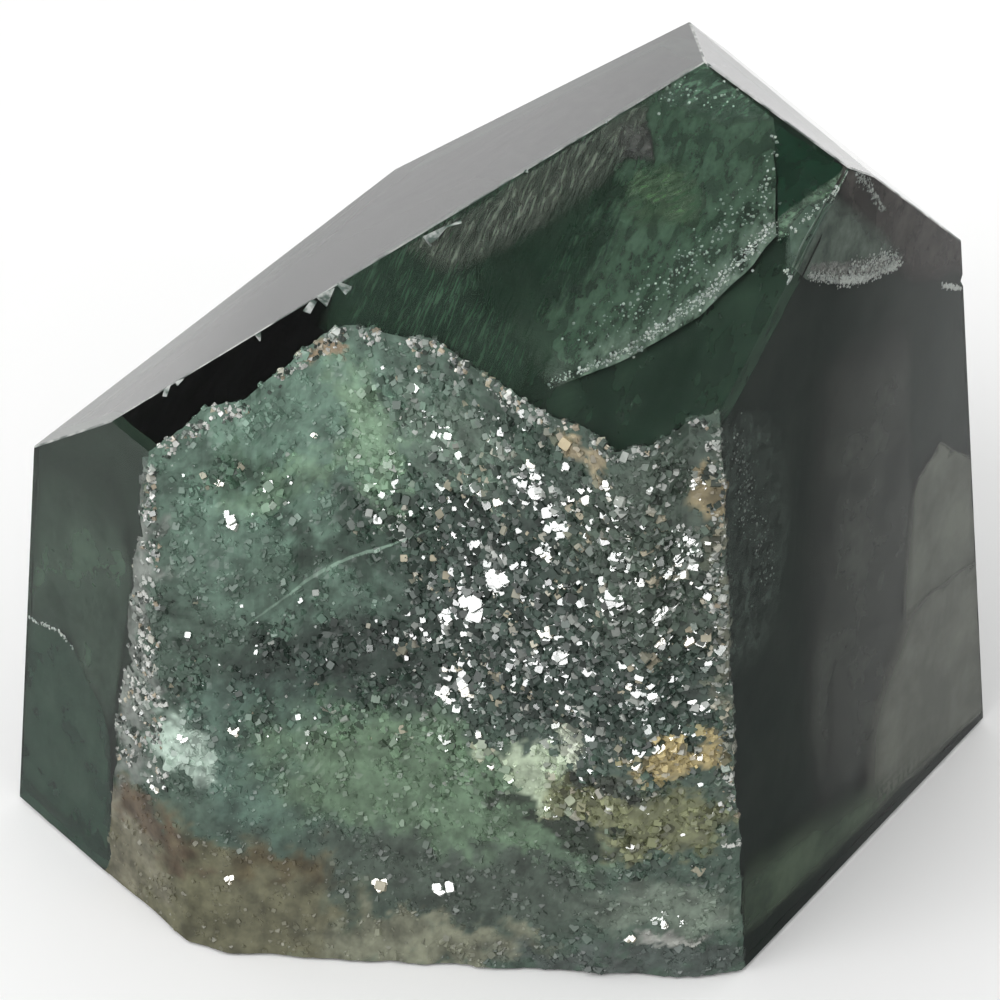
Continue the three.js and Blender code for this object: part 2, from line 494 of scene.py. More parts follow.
# The skin's colours lie in soft-edged patches: x and z of the middle in mm, half sizes in mm,
# the turn in degrees, how sharp the edge is, and the colour of the stone there.
SKIN_GREEN = (0.062, 0.096, 0.074)
PATCHES = {
    "milky_top": (-11.5, 30.0, 10.5, 9.5, 0, 0.5, (0.120, 0.197, 0.151)),
    "milky_low": (-9.0, 26.0, 8.5, 2.2, 24, 0.3, (0.064, 0.104, 0.078)),
    "dark_middle": (3.0, 26.5, 11.5, 10.5, 20, 0.5, (0.040, 0.060, 0.049)),
    "dark_right": (9.0, 33.0, 5.5, 8.5, 0, 0.5, (0.066, 0.090, 0.071)),
    "dark_low": (-9.8, 19.0, 9.0, 2.8, 14, 0.5, (0.029, 0.045, 0.036)),
    "under_pale": (-8.0, 26.6, 4.6, 2.2, 20, 0.4, (0.034, 0.060, 0.044)),
    "milky_right": (-3.3, 34.3, 3.6, 2.6, 0, 0.4, (0.110, 0.155, 0.122)),
    "green_pocket": (-15.6, 29.2, 3.6, 1.5, -10, 0.4, (0.062, 0.112, 0.076)),
    "blue_green": (-13.0, 12.5, 6.5, 4.5, 0, 0.4, (0.080, 0.137, 0.110)),
    "leaf_green": (-5.0, 11.5, 11.0, 4.6, -8, 0.5, (0.108, 0.170, 0.108)),
    "foot_green": (-1.0, 5.6, 12.0, 2.8, 0, 0.5, (0.059, 0.080, 0.063)),
    "pale_top": (-8.3, 32.2, 1.9, 4.4, 12, 0.4, (0.178, 0.276, 0.184)),
    "pale_streak": (-12.6, 29.4, 4.6, 0.9, 24, 0.4, (0.150, 0.240, 0.162)),
    "mint_middle": (1.5, 14.3, 2.3, 1.6, -35, 0.75, (0.385, 0.460, 0.335)),
    "mint_small": (3.5, 16.9, 1.3, 0.9, 0, 0.75, (0.420, 0.460, 0.370)),
    "mint_left": (-20.0, 12.4, 2.0, 2.1, 0, 0.6, (0.370, 0.465, 0.400)),
    "olive": (8.3, 12.6, 5.6, 3.0, -6, 0.75, (0.158, 0.170, 0.094)),
    "dark_gap": (5.3, 15.0, 2.6, 0.9, 0, 0.75, (0.045, 0.055, 0.042)),
    "dark_gap_low": (4.0, 11.2, 2.4, 1.1, -12, 0.7, (0.022, 0.034, 0.022)),
    "dark_gap_left": (0.3, 12.2, 1.6, 0.6, 10, 0.7, (0.040, 0.060, 0.040)),
    "ochre": (10.4, 17.6, 3.0, 1.3, 0, 0.75, (0.400, 0.330, 0.165)),
    "brown_foot": (-20.0, 2.6, 11.0, 5.0, -6, 0.75, (0.119, 0.117, 0.072)),
    "brown_pale": (-24.0, 3.4, 2.2, 3.0, 0, 0.4, (0.165, 0.158, 0.112)),
    "rust_left": (-22.0, 5.9, 2.8, 1.6, 0, 0.5, (0.094, 0.071, 0.045)),
    "rust_low": (-14.0, 5.6, 3.2, 0.9, -6, 0.4, (0.086, 0.073, 0.040)),
    "tan_foot": (-5.0, 1.4, 7.5, 1.6, 3, 0.6, (0.172, 0.180, 0.128)),
    "foot_right": (10.0, 5.2, 5.0, 2.2, 0, 0.4, (0.150, 0.190, 0.150)),
    "grey_foot": (7.5, 1.0, 8.0, 1.2, 0, 0.6, (0.070, 0.090, 0.080)),
    "white_foot": (10.2, 2.7, 2.2, 0.5, 0, 0.6, (0.330, 0.340, 0.310)),
    "bruised_edge": (-23.3, 19.0, 1.3, 13.0, -4, 0.5, (0.190, 0.210, 0.190)),
    "olive_edge": (12.9, 29.0, 0.8, 12.0, 0, 0.4, (0.130, 0.140, 0.105)),
    "tan_edge": (12.1, 36.6, 1.1, 1.8, 0, 0.6, (0.260, 0.220, 0.130)),
    "tan_rim": (4.4, 37.8, 1.1, 0.7, -20, 0.6, (0.340, 0.290, 0.190)),
    "tan_rim_left": (-11.0, 36.6, 1.4, 0.6, 35, 0.6, (0.340, 0.270, 0.180)),
}
PATCH_WAVE = 2.2  # size of the waves in their edges, and how far those reach, in mm
PATCH_WANDER = 1.7
PATCH_WHOLE = 1.2  # half height from which a patch wanders as far as that
PATCH_OCTAVES = 4  # how many ever finer waves they have, each so high next to the one before
PATCH_FINE = 0.72
PATCH_REACH = 1.6  # no patch reaches further than this share of its longer half size
PATCH_OUT = 0.6  # how far out and in its edge fades where it isn't sharp at all
PATCH_IN = 0.8
HEALED_CRACK = ((-16.0, 20.9), (-4.7, 27.8))  # a thin pale line across the skin
CRACK_WIDE = 0.10
CRACK_FADE = (1.25, 0.6)  # it fades out between these shares of that width and of its length
CRACK_COLOUR = (0.19, 0.28, 0.22, 1)
ANY_DEPTH = 1000  # a stretch that makes a pattern the same all through the stone
MOTTLE_SCALE = 700  # the fine spots, as waves per metre
MOTTLE_LIMITS = (0.32, 0.68)  # the noise's values where they are darkest and palest
WAVE_SEED = 92  # so that the edges' waves, and those of the sheets inside, are the same each time
noise.seed_set(WAVE_SEED)


def patch_share(x, z, middle_x, middle_z, half_x, half_z, turn, sharp):
    """How much of a patch's colour a place on the skin takes, from 0 to 1."""
    across, up = x - middle_x, z - middle_z
    if math.hypot(across, up) > PATCH_REACH * max(half_x, half_z):
        return 0
    turn = math.radians(turn)
    along_it = across * math.cos(turn) + up * math.sin(turn)
    over_it = up * math.cos(turn) - across * math.sin(turn)
    away = math.hypot(along_it / half_x, over_it / half_z)
    outer, inner = 1 + PATCH_OUT * (1 - sharp), 1 - PATCH_IN * (1 - sharp)
    return eased_step((outer - away) / (outer - inner))


def stone_colour(x, z):
    """The stone's colour at x and z of the skin, where the patches' edges wander as stains do."""
    start = Vector((x, 20, z)) / PATCH_WAVE
    waves = noise.turbulence_vector(start, PATCH_OCTAVES, False, amplitude_scale=PATCH_FINE)
    drift = waves * PATCH_WANDER
    colour = Vector(SKIN_GREEN)
    for *oval, tint in PATCHES.values():
        wander = min(oval[3] / PATCH_WHOLE, 1)
        share = patch_share(x + drift.x * wander, z + drift.z * wander, *oval)
        if share:
            colour = colour.lerp(Vector(tint), share)
    return colour


def stored(nodes, name, kind="Fac"):
    """What is stored with a mesh under this name."""
    attribute = nodes.new("ShaderNodeAttribute")
    attribute.attribute_name = name
    return attribute.outputs[kind]


def mottled_stone(nodes, links, least, most):
    """The colour stored with a mesh, with the healed crack across it, mottled in fine spots."""
    place = nodes.new("ShaderNodeTexCoord")
    (ax, az), (bx, bz) = HEALED_CRACK
    crack = nodes.new("ShaderNodeMapping")
    crack.vector_type = "TEXTURE"
    crack.inputs["Location"].default_value = ((ax + bx) / 2 * MM, 0, (az + bz) / 2 * MM)
    crack.inputs["Rotation"].default_value = (0, -math.atan2(bz - az, bx - ax), 0)
    half_run = math.hypot(bx - ax, bz - az) / 2
    crack.inputs["Scale"].default_value = (half_run * MM, ANY_DEPTH, CRACK_WIDE * MM)
    links.new(place.outputs["Object"], crack.inputs["Vector"])
    away = nodes.new("ShaderNodeVectorMath")
    away.operation = "LENGTH"
    links.new(crack.outputs["Vector"], away.inputs[0])
    line = ranged(nodes, links, away.outputs["Value"], *CRACK_FADE, soft=True)
    colour = blend_in(nodes, links, stored(nodes, "stone_colour", "Color"), line, CRACK_COLOUR)
    mottle = spots(nodes, links, MOTTLE_SCALE, 3, 0.6)
    strength = ranged(nodes, links, mottle, *MOTTLE_LIMITS, least, most)
    mottled = nodes.new("ShaderNodeVectorMath")
    mottled.operation = "SCALE"
    links.new(colour, mottled.inputs[0])
    links.new(strength, mottled.inputs["Scale"])
    return mottled.outputs["Vector"]


tints = stone.data.attributes.new("stone_colour", "FLOAT_COLOR", "POINT")
rough_faces = [face for face in stone.data.polygons if face.material_index == 1]
for number in sorted({vert for face in rough_faces for vert in face.vertices}):
    place = stone.data.vertices[number].co / MM
    tints.data[number].color = (*stone_colour(place.x, place.z), 1)

ground, nodes, links, shader = new_material("skin_between_crystals")
colour = mottled_stone(nodes, links, 0.5, 1.3)
links.new(colour, shader.inputs["Base Color"])
shader.inputs["Roughness"].default_value = 0.22
shader.inputs["IOR"].default_value = FLUORITE_IOR


def speckled(name, scale, detail, limits, dark, pale, roughness):
    """A material that goes from a dark to a pale colour in fine spots."""
    material, nodes, links, shader = new_material(name)
    amount = ranged(nodes, links, spots(nodes, links, scale, detail), *limits)
    colour = blend_in(nodes, links, (*dark, 1), amount, (*pale, 1))
    links.new(colour, shader.inputs["Base Color"])
    shader.inputs["Roughness"].default_value = roughness
    shader.inputs["IOR"].default_value = FLUORITE_IOR
    return material


# the eased strip goes from dark to pale in speckles: wear, and partly a painted highlight along the edge
worn_and_highlit = speckled("eased_edge_and_highlight", 700, 3, (0.4, 0.65), (0.08, 0.10, 0.09), (0.52, 0.53, 0.51), 0.35)
chipped = speckled(
    "cleaved_chip", 1800, 4, (0.42, 0.62), (0.10, 0.14, 0.12), (0.50, 0.52, 0.50), 0.18,
)

stone.data.materials.append(polish)
stone.data.materials.append(ground)
stone.data.materials.append(worn_and_highlit)
stone.data.materials.append(chipped)
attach(stone, "root")
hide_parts("fluorite_point")

# Inside the stone: healed cracks and cloudy growth bands, seen through the polish. Each one is
# a thin wavy sheet of bubbles and fluid, grown into the stone as it is, so it is a thin shell
# under one of the facets.
UNDER_POLISH = 0.01 * MM  # how far under the polish everything that the wheel cut stays
SHEET_THICK = 0.05  # all in mm
BEHIND_SKIN = 0.5
SHEET_GRID = 0.6
SHEET_WANDER = 0.22  # how far a sheet's edge and face wander
SHEET_WAVE = 2.2
PAINTED_SPARKLE_WIDE = 2.8  # how wide a sheet's paler edge is, which is partly its own pale rim and partly a painted sparkle
EDGE_CLEAR = 0.35  # the stone is clear this far in from the crown


def behind_skin(corner):
    """A place brought back behind the skin where it stood out of it."""
    least = skin_y(corner.x / MM, corner.z / MM) + BEHIND_SKIN
    return Vector((corner.x, max(corner.y, least * MM), corner.z))


def trimmed(corner):
    """A place brought back under the polish where the wheel cut it off."""
    for normal, distance in facets:
        past = corner.dot(normal) - (distance - UNDER_POLISH)
        if past > 0:
            corner = corner - normal * past
    return corner


def under(facet, depth, x, z):
    """The place at x and z that lies this far under a facet, all in mm."""
    normal, distance = facet
    y = (distance / MM - depth - normal.x * x - normal.z * z) / normal.y
    return Vector((x, y, z)) * MM


def sheet(name, material, facet, depth, corners, soft=(), sparkle_edges=(), past=False):
    """A thin sheet so many mm under a facet. Its corners are x and z in order round it, and it
    fades out over so many mm inside the edge after each corner, as given by soft. The edges
    after the corners whose numbers are given as sparkling edges are paler: partly the sheet's
    own pale rim, and partly a painted sparkle. It ends where it meets the sheets of the next
    facet, unless it runs past there, and in front a little short of the crown."""
    rim = [under(facet, depth, x, z) for x, z in corners]
    middle = sum(rim, Vector()) / len(rim)
    width = 2 * max((corner - middle).length for corner in rim)
    cells = round(width / SHEET_GRID / MM)
    bpy.ops.object.select_all(action="DESELECT")
    bpy.ops.mesh.primitive_grid_add(
        x_subdivisions=cells,
        y_subdivisions=cells,
        size=width,
        location=middle,
        rotation=facet[0].to_track_quat("Z", "Y").to_euler(),
    )
    piece = bpy.context.object
    piece.name = name
    bpy.ops.object.transform_apply(location=True, rotation=True, scale=True)
    bpy.ops.object.mode_set(mode="EDIT")
    walls = []
    for one, other, fade in zip(rim, rim[1:] + rim[:1], soft or [0] * len(rim)):
        out = (other - one).cross(facet[0]).normalized()
        out = out if out.dot(one - middle) > 0 else -out
        walls.append((out, out.dot(one), fade * MM))
    limits = [(out, reach) for out, reach, fade in walls]
    for side in facets:
        gap = EDGE_CLEAR * MM if side in CROWNS and facet is FRONT_SLOPE else UNDER_POLISH
        limits.append((side[0], side[1] - gap))
    neighbours = BACK_WINDOWS + CROWNS + WINDOWS if facet in BACK_WINDOWS else WINDOWS
    for other in neighbours:
        if other is not facet and not past:
            across = other[0] - facet[0]
            limits.append((across.normalized(), (other[1] - facet[1]) / across.length))
    for out, reach in limits:
        bpy.ops.mesh.select_all(action="SELECT")
        bpy.ops.mesh.bisect(plane_co=out * reach, plane_no=out, clear_outer=True, threshold=CUT_FINE)
    bpy.ops.mesh.select_all(action="SELECT")
    bpy.ops.mesh.extrude_region_move(
        TRANSFORM_OT_translate={"value": facet[0] * -SHEET_THICK * MM},
    )
    bpy.ops.mesh.select_all(action="SELECT")
    bpy.ops.mesh.normals_make_consistent(inside=False)
    bpy.ops.object.mode_set(mode="OBJECT")
    cover = piece.data.attributes.new("cover", "FLOAT", "POINT")
    painted_sparkle = piece.data.attributes.new("painted_sparkle", "FLOAT", "POINT")
    for vert, value, light in zip(piece.data.vertices, cover.data, painted_sparkle.data):
        shares = [(reach - out.dot(vert.co)) / fade for out, reach, fade in walls if fade]
        value.value = math.prod(eased_step(share) for share in shares)
        # how near a corner is to a paler edge, where a sparkle is partly painted in
        near = [walls[number][1] - walls[number][0].dot(vert.co) for number in sparkle_edges]
        light.value = 1 - eased_step(min(near, default=1) / (PAINTED_SPARKLE_WIDE * MM))
        drift = noise.noise_vector(vert.co / MM / SHEET_WAVE) * SHEET_WANDER * MM
        vert.co = trimmed(behind_skin(vert.co + drift))
    piece.data.materials.append(material)
    piece.visible_diffuse = facet not in BACK_WINDOWS  # those at the back don't shade the front ones
    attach(piece, "root")
    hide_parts("fluorite_point")
    return piece


PAINTED_SPARKLE_COLOUR = (0.22, 0.29, 0.235)  # of the paler edges, which is partly their own pale colour and partly a painted sparkle
CLOUD_ROUGHNESS = 0.62
CLOUD_LIMITS = (0.36, 0.66)  # the noise's values where a sheet is thin and where it is thick


def product(nodes, links, one, other):
    """Two values multiplied."""
    times = nodes.new("ShaderNodeMath")
    times.operation = "MULTIPLY"
    links.new(one, times.inputs[0])
    links.new(other, times.inputs[1])
    return times.outputs["Value"]


def cloudy(name, thin, thick, cover, size, lay=None, stretch=1):
    """A sheet's material, of two colours where it is thin and thick, with its least and most
    cover. Its spots are so many mm across, and drawn out along a way if one is given."""
    material, nodes, links, shader = new_material(name)
    place = nodes.new("ShaderNodeTexCoord")
    turned = nodes.new("ShaderNodeMapping")
    turned.vector_type = "TEXTURE"
    turned.inputs["Scale"].default_value = (1, 1, stretch)
    if lay:
        turned.inputs["Rotation"].default_value = Vector(lay).to_track_quat("Z", "Y").to_euler()
    links.new(place.outputs["Object"], turned.inputs["Vector"])
    cloud = spots(nodes, links, 1 / (size * MM), 4, CLOUD_ROUGHNESS, turned.outputs["Vector"])
    amount = ranged(nodes, links, cloud, *CLOUD_LIMITS)
    colour = blend_in(nodes, links, (*thin, 1), amount, (*thick, 1))
    # where a sheet is thick, its paler edges take a colour that is partly a painted sparkle
    painted_sparkle = product(nodes, links, stored(nodes, "painted_sparkle"), amount)
    colour = blend_in(nodes, links, colour, painted_sparkle, (*PAINTED_SPARKLE_COLOUR, 1))
    links.new(colour, shader.inputs["Base Color"])
    dense = ranged(nodes, links, amount, 0, 1, *cover)
    links.new(product(nodes, links, dense, stored(nodes, "cover")), shader.inputs["Alpha"])
    shader.inputs["Roughness"].default_value = 0.6
    shader.inputs["Specular IOR Level"].default_value = 0.1
    return material


FIBRE_WAY = (0.35, 0.79, 0.51)  # the way that the feathers run, up under the front slope
veil_milk = cloudy(
    "veil", (0.024, 0.055, 0.033), (0.062, 0.108, 0.073),
    (0.75, 1.0), 0.8, FIBRE_WAY, 1.7,
)
apex_milk = cloudy(
    "apex_veil", (0.028, 0.066, 0.042), (0.110, 0.178, 0.130),
    (0.3, 1.0), 0.4, (1, 0.2, 0.3), 2.5,
)
leaf_milk = cloudy(
    "leaf_veil", (0.040, 0.092, 0.046), (0.110, 0.185, 0.104),
    (0.0, 0.8), 0.45, (1, 0.2, 0.3), 2.5,
)
haze = cloudy("haze", (0.010, 0.027, 0.016), (0.023, 0.048, 0.030), (0.8, 1.0), 2.5, FIBRE_WAY, 2)
depths = cloudy("green_depths", (0.002, 0.018, 0.008), (0.006, 0.034, 0.018), (1.0, 1.0), 2)
deep_green = cloudy("deep_green", (0.002, 0.020, 0.009), (0.004, 0.030, 0.014), (0.9, 1.0), 2)
feather = cloudy(
    "feather", (0.010, 0.034, 0.018), (0.036, 0.068, 0.045),
    (0.6, 1.0), 0.17, FIBRE_WAY, 9,
)
dark_feather = cloudy(
    "dark_feather", (0.022, 0.056, 0.032), (0.003, 0.022, 0.010),
    (0.0, 0.85), 0.20, FIBRE_WAY, 8,
)
crown_cloud = cloudy(
    "crown_cloud", (0.042, 0.058, 0.044), (0.130, 0.148, 0.122),
    (0.1, 0.95), 0.22, FIBRE_WAY, 6,
)
grey_cloud = cloudy("grey_cloud", (0.035, 0.042, 0.037), (0.085, 0.088, 0.082), (0.7, 1.0), 0.6)
bright_band = cloudy("bright_band", (0.060, 0.112, 0.072), (0.170, 0.245, 0.180), (0.6, 1.0), 0.35)
blob_slope = cloudy("blob_slope", (0.045, 0.078, 0.056), (0.090, 0.135, 0.104), (0.8, 1.0), 1.2)
side_cloud = cloudy("side_cloud", (0.23, 0.24, 0.205), (0.29, 0.30, 0.255), (0.8, 1.0), 5)
side_haze = cloudy("side_haze", (0.12, 0.13, 0.12), (0.18, 0.19, 0.17), (0.4, 0.8), 6)
brown_haze = cloudy("brown_haze", (0.085, 0.077, 0.070), (0.140, 0.127, 0.116), (0.6, 1.0), 2.2)
green_blob = cloudy("green_blob", (0.110, 0.150, 0.122), (0.230, 0.285, 0.240), (0.8, 1.0), 1.5)
edge_haze = cloudy("edge_haze", (0.060, 0.090, 0.072), (0.130, 0.170, 0.145), (0.2, 0.8), 0.9)
# frosted white, partly the crack's own frost and partly a painted sparkle
white_frost_and_sparkle = cloudy("white_frost_and_sparkle", (0.22, 0.23, 0.21), (0.66, 0.67, 0.63), (0.5, 1.0), 0.30)
green_band = cloudy("green_band", (0.12, 0.17, 0.12), (0.18, 0.24, 0.165), (0.7, 1.0), 4)
left_cloud = cloudy("left_cloud", (0.035, 0.062, 0.044), (0.072, 0.112, 0.080), (0.5, 0.95), 5)
grey_depths = cloudy("grey_depths", (0.031, 0.046, 0.039), (0.048, 0.063, 0.053), (1.0, 1.0), 5)
left_depths = cloudy("left_depths", (0.013, 0.026, 0.017), (0.024, 0.041, 0.028), (1.0, 1.0), 4)
left_shade = cloudy("left_shade", (0.018, 0.045, 0.030), (0.036, 0.066, 0.046), (0.85, 1.0), 3)
back_depths = cloudy(
    "back_depths", (0.010, 0.030, 0.018), (0.036, 0.070, 0.048),
    (1.0, 1.0), 5, (0.3, 0.2, 1), 2,
)
back_milk = cloudy(
    "back_veil", (0.020, 0.045, 0.030), (0.080, 0.125, 0.092),
    (0.0, 0.9), 1.6, (0.3, 0.2, 1), 2.5,
)

sheet("slope_depths", depths, FRONT_SLOPE, 1.5,
      [(-28.1, 29.8), (14.4, 54.8), (22.9, 51.8), (17.4, 40.3), (6.9, 36.3), (-9.1, 35.8),
       (-20.1, 29.8)])
sheet("right_depths", grey_depths, RIGHT_SIDE, 1.5,
      [(8.4, -0.6), (35.4, -0.6), (35.4, 30.4), (28.4, 42.4), (18.4, 54.4), (10.4, 50.4)])
sheet("left_depths", left_depths, LEFT_SIDE, 1.5,
      [(-34.0, -1.0), (-20.0, -1.0), (-17.0, 34.0), (-28.0, 33.5), (-34.0, 30.0)])
sheet("veil", veil_milk, FRONT_SLOPE, 0.6,
      [(2.4, 39.8), (4.9, 41.05), (7.8, 42.55), (11.2, 44.5), (13.5, 46.3), (15.6, 48.0), (15.9, 52.4),
       (11.7, 53.9), (5.9, 49.4), (-1.9, 41.2)],
      [0, 0, 0, 0, 0, 0, 0, 0, 4.5, 2.5], sparkle_edges=(1, 2, 3, 4))
sheet("apex_veil", apex_milk, FRONT_SLOPE, 0.4,
      [(7.6, 48.7), (9.5, 49.1), (12.9, 50.4), (15.7, 50.6), (15.9, 52.0), (11.9, 53.4)],
      [0.4, 0.5, 0.6, 0.3, 0, 0])
sheet("grey_cloud", grey_cloud, FRONT_SLOPE, 0.3,
      [(6.6, 48.9), (8.7, 49.4), (8.9, 48.5), (6.8, 47.9)], [0.1, 0.1, 0.1, 0.1])
sheet("leaf_veil", leaf_milk, FRONT_SLOPE, 0.5,
      [(7.6, 47.7), (10.6, 48.9), (12.1, 48.1), (11.4, 47.2), (7.9, 46.0), (6.6, 46.3)],
      [0.6, 1.0, 1.0, 1.0, 0.6, 0.2])
sheet("feathers", feather, FRONT_SLOPE, 0.75,
      [(-12.1, 38.9), (6.9, 50.8), (6.7, 46.3), (3.3, 41.7), (1.2, 39.2), (-3.1, 38.2), (-10.1, 37.5)],
      [0, 0.5, 2.0, 1.5, 0.3, 0.3, 1.5])
sheet("dark_feathers", dark_feather, FRONT_SLOPE, 0.45,
      [(-3.4, 42.4), (1.4, 46.2), (7.6, 49.2), (7.0, 45.0), (2.6, 41.6), (-1.4, 40.6)],
      [0.8, 1.0, 1.5, 2.2, 2.0, 1.5])
sheet("crown_cloud", crown_cloud, FRONT_SLOPE, 0.3,
      [(-6.4, 41.4), (8.2, 50.6), (8.6, 49.2), (5.6, 46.7), (0.8, 43.6), (-3.6, 41.4)],
      [0, 0.3, 0.8, 1.3, 1.3, 0.8])
sheet("haze", haze, FRONT_SLOPE, 1.2,
      [(-12.1, 36.2), (-9.1, 41.4), (14.4, 54.9), (18.4, 52.4), (17.4, 42.2), (11.9, 39.8), (6.8, 37.4),
       (-4.8, 37.2)],
      [3.0, 0, 0, 0, 0, 0, 0, 0], past=True)
sheet("deep_green", deep_green, FRONT_SLOPE, 0.5,
      [(15.8, 52.0), (20.4, 51.2), (15.8, 47.9)])
sheet("slope_band", bright_band, FRONT_SLOPE, 0.35,
      [(15.6, 48.0), (15.7, 48.8), (20.2, 51.7), (20.6, 51.2)], [0.1, 0.2, 0.1, 0.2])
sheet("blob_near_edge", blob_slope, FRONT_SLOPE, 0.3,
      [(15.9, 47.4), (16.2, 48.8), (17.2, 49.7), (20.5, 51.0), (20.5, 49.5), (17.0, 46.8)],
      [0.2, 0.2, 0.3, 0, 0, 0.1], past=True)
sheet("brown_haze", brown_haze, RIGHT_SIDE, 0.6,
      [(18.6, 52.2), (28.4, 39.9), (28.2, 36.4), (24.6, 38.6), (22.4, 41.6), (19.4, 46.9)],
      [0, 0, 0.8, 1.2, 0.8, 0.8])
sheet("crescent_blob", green_blob, RIGHT_SIDE, 0.3,
      [(16.0, 48.2), (18.8, 50.9), (19.9, 49.0), (23.7, 42.6), (23.5, 41.8), (22.0, 42.2),
       (19.9, 43.8), (17.2, 46.2)],
      [0, 0.4, 1.4, 0.2, 0, 0, 0, 0], past=True)
# the crescent's lower edge: frosted white, partly its own frost and partly a painted sparkle
sheet("crescent_edge", white_frost_and_sparkle, RIGHT_SIDE, 0.2,
      [(16.5, 48.0), (17.8, 46.1), (19.2, 44.3), (20.6, 43.0), (22.1, 42.1), (23.4, 41.5), (23.8, 42.0),
       (20.0, 45.2)],
      [0.3, 0, 0, 0, 0, 0.2, 0.5, 0.5])
sheet("side_cloud_high", side_cloud, RIGHT_SIDE, 0.85,
      [(24.6, 22.6), (25.1, 24.4), (26.7, 25.4), (29.4, 21.6), (30.8, 12.4), (28.9, 12.0), (24.6, 12.6)],
      [0.4, 0.2, 0.1, 0, 1.5, 2.0, 0.9])
sheet("side_cloud_low", side_cloud, RIGHT_SIDE, 0.6,
      [(24.4, 15.2), (28.9, 14.0), (31.6, 12.6), (32.1, 0.5), (27.7, 0.5), (22.6, 1.3), (22.0, 9.0)],
      [0.5, 0.2, 0, 0, 1.0, 3.0, 3.5])
sheet("side_haze", side_haze, RIGHT_SIDE, 1.15,
      [(17.2, 40.7), (24.0, 37.3), (25.6, 14.5), (24.1, 4.5), (18.6, 3.7), (16.4, 22.1)],
      [3, 1.5, 1.5, 3, 3, 6])
sheet("side_patch", side_haze, RIGHT_SIDE, 0.8,
      [(19.7, 17.1), (20.9, 15.0), (22.0, 9.7), (22.0, 6.3), (19.7, 7.9), (19.6, 13.8)],
      [0.5, 1.2, 1.5, 0.8, 0.8, 0.3])
sheet("edge_haze", edge_haze, RIGHT_SIDE, 0.5,
      [(12.0, 42.5), (14.5, 40.5), (16.6, 36.0), (16.8, 27.0), (15.4, 22.0), (12.0, 22.0)],
      [1, 1.5, 2, 2, 2, 0])
sheet("foot_band", green_band, RIGHT_SIDE, 0.6,
      [(14.2, 9.0), (18.0, 7.8), (23.0, 5.4), (27.2, 2.6), (27.0, 0.7), (22.3, 0.9), (15.3, 1.6),
       (14.0, 2.2)],
      [3.5, 3.5, 3.5, 1.0, 0.9, 1.1, 1.1, 0.3])
sheet("left_cloud", left_cloud, LEFT_SIDE, 1.0,
      [(-30.4, 24.8), (-23.7, 28.5), (-22.4, 22.3), (-24.5, 9.3), (-30.6, 9.3)],
      [7, 1.5, 0.5, 0, 0.5])
sheet("left_shade", left_shade, LEFT_SIDE, 0.6,
      [(-30.4, 13.2), (-28.0, 14.0), (-27.1, 13.7), (-25.3, 11.1), (-24.6, 9.0), (-24.8, 0.4),
       (-31.4, 0.4)],
      [0, 0, 0, 0, 0.5, 0, 0])
sheet("left_foot", left_shade, LEFT_SIDE, 0.15,
      [(-34, -1), (-34, 1.8), (-20, 1.8), (-20, -1)], [0, 1.0, 0, 0])

BACK_CLEAR = 3.0  # how deep the stone is clear behind, in mm
BACK_FACETS = [  # the facets there, with corners that reach past each one's own
    (BACK_SIDE, [(-16, -1), (16, -1), (16, 46), (-16, 46)]),
    (BACK_LEFT, [(-34, -1), (-6, -1), (-6, 42), (-34, 42)]),
    (BACK_RIGHT, [(8, -1), (34, -1), (34, 46), (8, 46)]),
    (BACK_CROWN, [(-26, 16), (12, 16), (20, 50), (-12, 50)]),
    (BACK_RIGHT_CROWN, [(8, 26), (34, 26), (34, 52), (8, 52)]),
]
for number, (facet, corners) in enumerate(BACK_FACETS):
    sheet(f"back_depths_{number + 1}", back_depths, facet, BACK_CLEAR, corners)
sheet("back_veil_1", back_milk, BACK_SIDE, 2.5,
      [(-9, 6), (9, 4), (12, 20), (7, 36), (-6, 34), (-12, 18)], [4, 3, 4, 3, 4, 3])
sheet("back_veil_2", back_milk, BACK_RIGHT, 2.0,
      [(13, 8), (26, 5), (30, 20), (24, 34), (15, 30)], [3, 4, 3, 3, 5])
sheet("back_veil_3", back_milk, BACK_LEFT, 2.0,
      [(-29, 7), (-16, 4), (-11, 19), (-17, 29), (-28, 23)], [3, 4, 5, 3, 2])

# The druse: a crust of tiny fluorite cubes that grew on the skin, each with its corners cut
# by smaller faces. They are all one crystal with the stone. Where the skin sparkles, many of
# them stand the same way round, so they catch the light together, and elsewhere they stand
# as they like.
CRYSTAL_COUNT = 17200
CRYSTAL_SIZES = (0.17, 0.58)  # smallest and largest, in mm
CRYSTAL_SMALL = 2.2  # the higher this power, the more of them are small
CRYSTAL_CORNER = 0.14  # share of an edge that a corner's own face takes
CRYSTAL_SHAPES = (0.8, 1.2)  # each one's sides are so many times its size
CRYSTAL_SUNK = (0.05, 0.35)  # and its middle is so many times that under the skin
SHOWN_LEAST = 0.2  # its middle is at least so many times its size under the polish
CRUST_LEVEL = 0.42  # how thick the crust is, from 0 to 1: as a rule,
CRUST_PATCHES = 1.1  # more or less than that in patches,
CRUST_WAVES = [(1, 11, 1.9), (0.5, 3, 0.8)]  # each as its share, layer and size in mm,
CRUST_SPARKLE = 0.8  # more where it sparkles,
CRUST_LEAST = 0.12  # and at the very least
CRUST_SMOOTH = 0.3  # share of it that stays where the skin is smooth
OVAL_WANDER = 0.6  # how far an oval's edge wanders, as a share of its size
OVAL_WAVE = 2.6  # in waves of this size, in mm
OVAL_SOFT = (1.25, 0.75)  # and it goes from nothing to all between these shares of its size
SPARKLE = (4.0, 26.0, 11.0, 12.0)  # x, z and half sizes of the part that sparkles, in mm
SPARKLE_SHARE = 0.34  # share of the cubes there that throw the light back
SPARKLE_JITTER = 0.20  # and how far those differ in that, in radians
